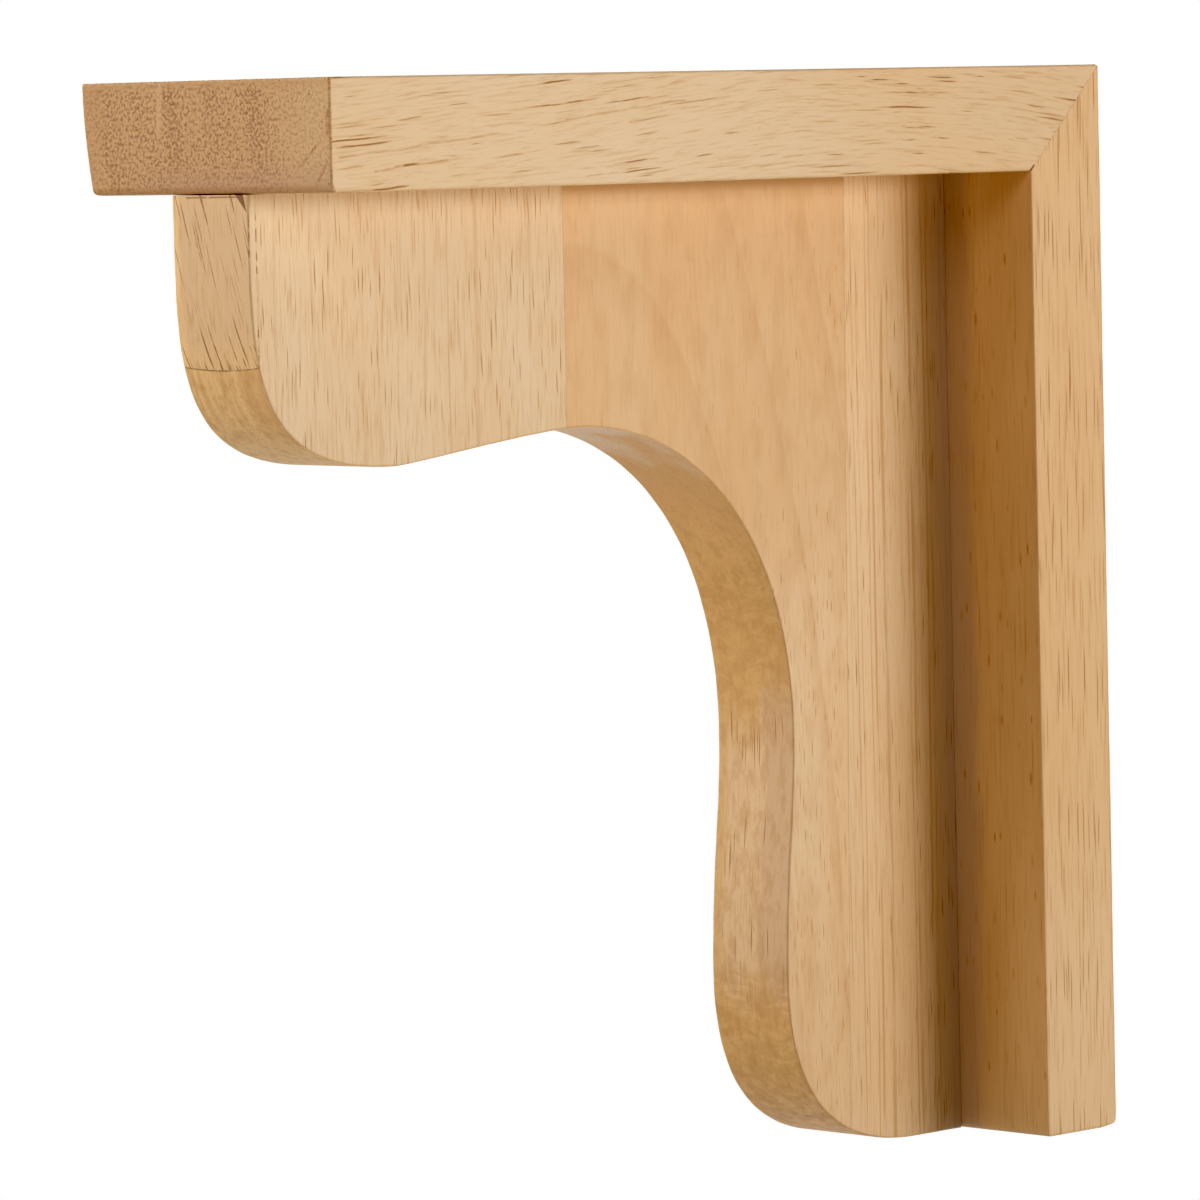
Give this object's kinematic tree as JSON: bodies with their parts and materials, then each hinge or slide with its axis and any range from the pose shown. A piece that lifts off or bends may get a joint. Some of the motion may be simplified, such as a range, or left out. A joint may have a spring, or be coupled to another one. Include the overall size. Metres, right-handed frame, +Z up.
{
  "type": "wooden corbel bracket",
  "caption": "Bare hardwood shelf bracket: mitred top and back boards with a band-sawn web, nose and open arch beneath, standing on edge in the corner.",
  "frame": {"origin": "centre of the back board's rear face, the face that goes against the wall", "axes": "+Y into the wall, so the bracket reaches out along -Y; +Z up, out of the top board; +X to the side that the picture shows"},
  "size_m": [0.064, 0.2, 0.2032],
  "materials": {
    "bare_hardwood": "sanded, unfinished"
  },
  "bodies": {
    "root": {"top_board": "bare_hardwood", "back_board": "bare_hardwood", "centre_web": "bare_hardwood"}
  },
  "joints": []
}
